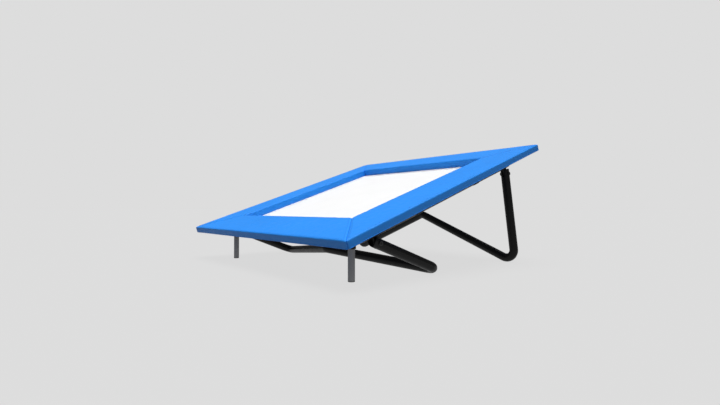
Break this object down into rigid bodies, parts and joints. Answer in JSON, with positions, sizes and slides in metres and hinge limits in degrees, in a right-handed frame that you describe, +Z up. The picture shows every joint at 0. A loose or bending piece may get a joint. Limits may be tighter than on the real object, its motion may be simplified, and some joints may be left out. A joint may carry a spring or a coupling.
{
  "type": "mini trampoline",
  "caption": "Sloping mini-trampoline with a square sprung bed, padded edge, two folding W-shaped legs and two short front legs.",
  "frame": {"origin": "on the floor under the middle of the square of pads", "axes": "+X across to the right, +Y up the slope from the low end to the high end, +Z up"},
  "size_m": [1.25, 1.1924, 0.5633],
  "materials": {
    "frame_black": "satin black powder coat",
    "leg_black": "satin black powder coat",
    "front_grey": "matt grey coating",
    "zinc": "bright zinc plate",
    "spring_steel": "zinc plated spring wire",
    "pad_vinyl": "smooth blue coated cloth",
    "bed_cloth": "white woven bed cloth",
    "bed_webbing": "white webbing",
    "strap_webbing": "black webbing",
    "knob_plastic": "moulded black",
    "grey_plastic": "moulded grey",
    "nylon": "black nylon"
  },
  "bodies": {
    "frame": {"low_end_rail": "frame_black", "high_end_rail": "frame_black", "left_side_rail": "frame_black", "right_side_rail": "frame_black", "high_hinge_tongues": "frame_black", "low_hinge_tongues": "frame_black", "spring_lugs_low": "frame_black", "spring_lugs_right": "frame_black", "spring_lugs_high": "frame_black", "spring_lugs_left": "frame_black", "corner_plate_left": "frame_black", "corner_plate_right": "frame_black", "socket_left": "frame_black", "socket_right": "frame_black", "rail_sleeves": "zinc", "rail_bolts": "zinc", "rail_nuts": "zinc", "high_hinge_pins": "zinc", "low_hinge_pins": "zinc", "high_pin_caps": "leg_black", "low_pin_caps": "leg_black", "springs_low": "spring_steel", "bed_rings_low": "zinc", "pad_low": "pad_vinyl", "springs_right": "spring_steel", "bed_rings_right": "zinc", "pad_right": "pad_vinyl", "springs_high": "spring_steel", "bed_rings_high": "zinc", "pad_high": "pad_vinyl", "springs_left": "spring_steel", "bed_rings_left": "zinc", "pad_left": "pad_vinyl", "bed": "bed_cloth", "bed_hem": "bed_webbing", "pad_straps": "strap_webbing"},
    "high_leg": {"high_leg": "leg_black", "high_leg_ends": "nylon"},
    "low_leg": {"low_leg": "leg_black", "low_leg_ends": "nylon"},
    "front_leg_left": {"front_leg_left": "front_grey", "front_plug_left": "grey_plastic"},
    "front_leg_right": {"front_leg_right": "front_grey", "front_plug_right": "grey_plastic"},
    "clamp_left": {"clamp_screw_left": "zinc", "clamp_knob_left": "knob_plastic"},
    "clamp_right": {"clamp_screw_right": "zinc", "clamp_knob_right": "knob_plastic"}
  },
  "joints": [
    {"name": "high_leg_fold", "type": "hinge", "parent": "frame", "child": "high_leg", "pos_m": [0, 0.45666, 0.4197], "axis": [1, 0, 0], "range_deg": [-74, 0]},
    {"name": "low_leg_fold", "type": "hinge", "parent": "frame", "child": "low_leg", "pos_m": [0, -0.37845, 0.13378], "axis": [1, 0, 0], "range_deg": [-50, 39.5]},
    {"name": "front_leg_left_pull", "type": "slide", "parent": "frame", "child": "front_leg_left", "axis": [0, 0, 1], "range_m": [-0.05, 0]},
    {"name": "front_leg_right_pull", "type": "slide", "parent": "frame", "child": "front_leg_right", "axis": [0, 0, 1], "range_m": [-0.05, 0]},
    {"name": "clamp_left_turn", "type": "hinge", "parent": "frame", "child": "clamp_left", "pos_m": [-0.464, -0.442, 0.12653], "axis": [1, 0, 0], "range_deg": [-360, 0]},
    {"name": "clamp_right_turn", "type": "hinge", "parent": "frame", "child": "clamp_right", "pos_m": [0.464, -0.442, 0.12653], "axis": [-1, 0, 0], "range_deg": [-360, 0]}
  ]
}
